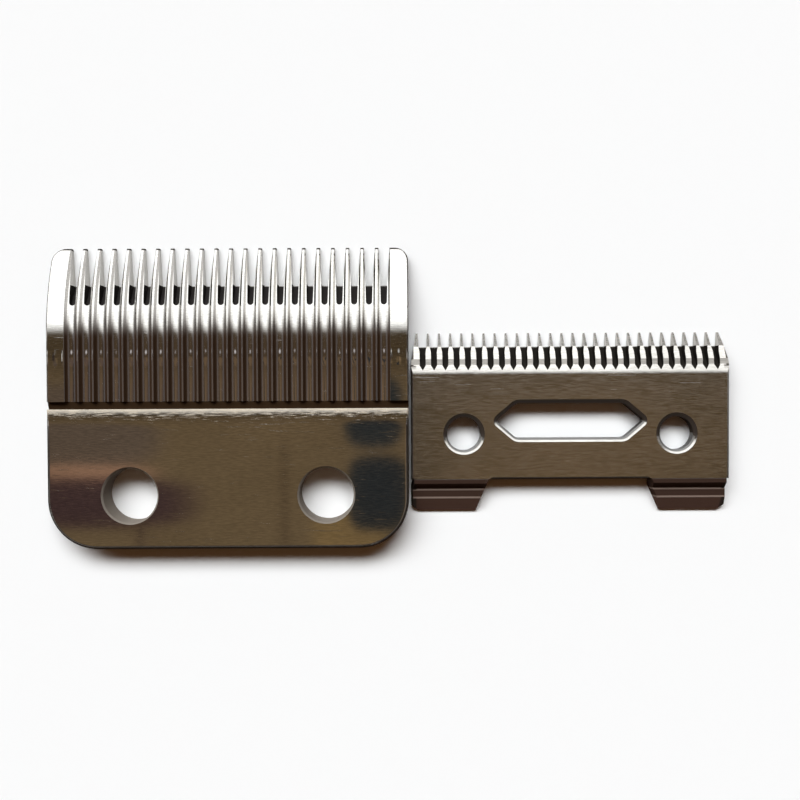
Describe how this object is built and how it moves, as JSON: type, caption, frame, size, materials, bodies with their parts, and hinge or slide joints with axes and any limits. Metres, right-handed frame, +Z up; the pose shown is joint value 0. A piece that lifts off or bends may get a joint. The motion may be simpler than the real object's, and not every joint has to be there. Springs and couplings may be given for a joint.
{
  "type": "hair clipper blade set",
  "caption": "Flat steel clipper blade set: a fluted comb blade with screw holes beside a toothed cutter with a drive slot and rear feet.",
  "frame": {"origin": "middle of the set's footprint, on the surface that both blades lie on", "axes": "+X from the comb blade to the cutter, +Y towards the teeth, +Z up out of the outer sides"},
  "size_m": [0.0852, 0.0378, 0.0028],
  "materials": {
    "comb_steel": "ground and polished tool steel with a warm grey tone",
    "cutter_steel": "ground tool steel with a fine brushed grain along the blade"
  },
  "bodies": {
    "root": {"fixed_blade": "comb_steel", "cutter_blade": "cutter_steel"}
  },
  "joints": []
}
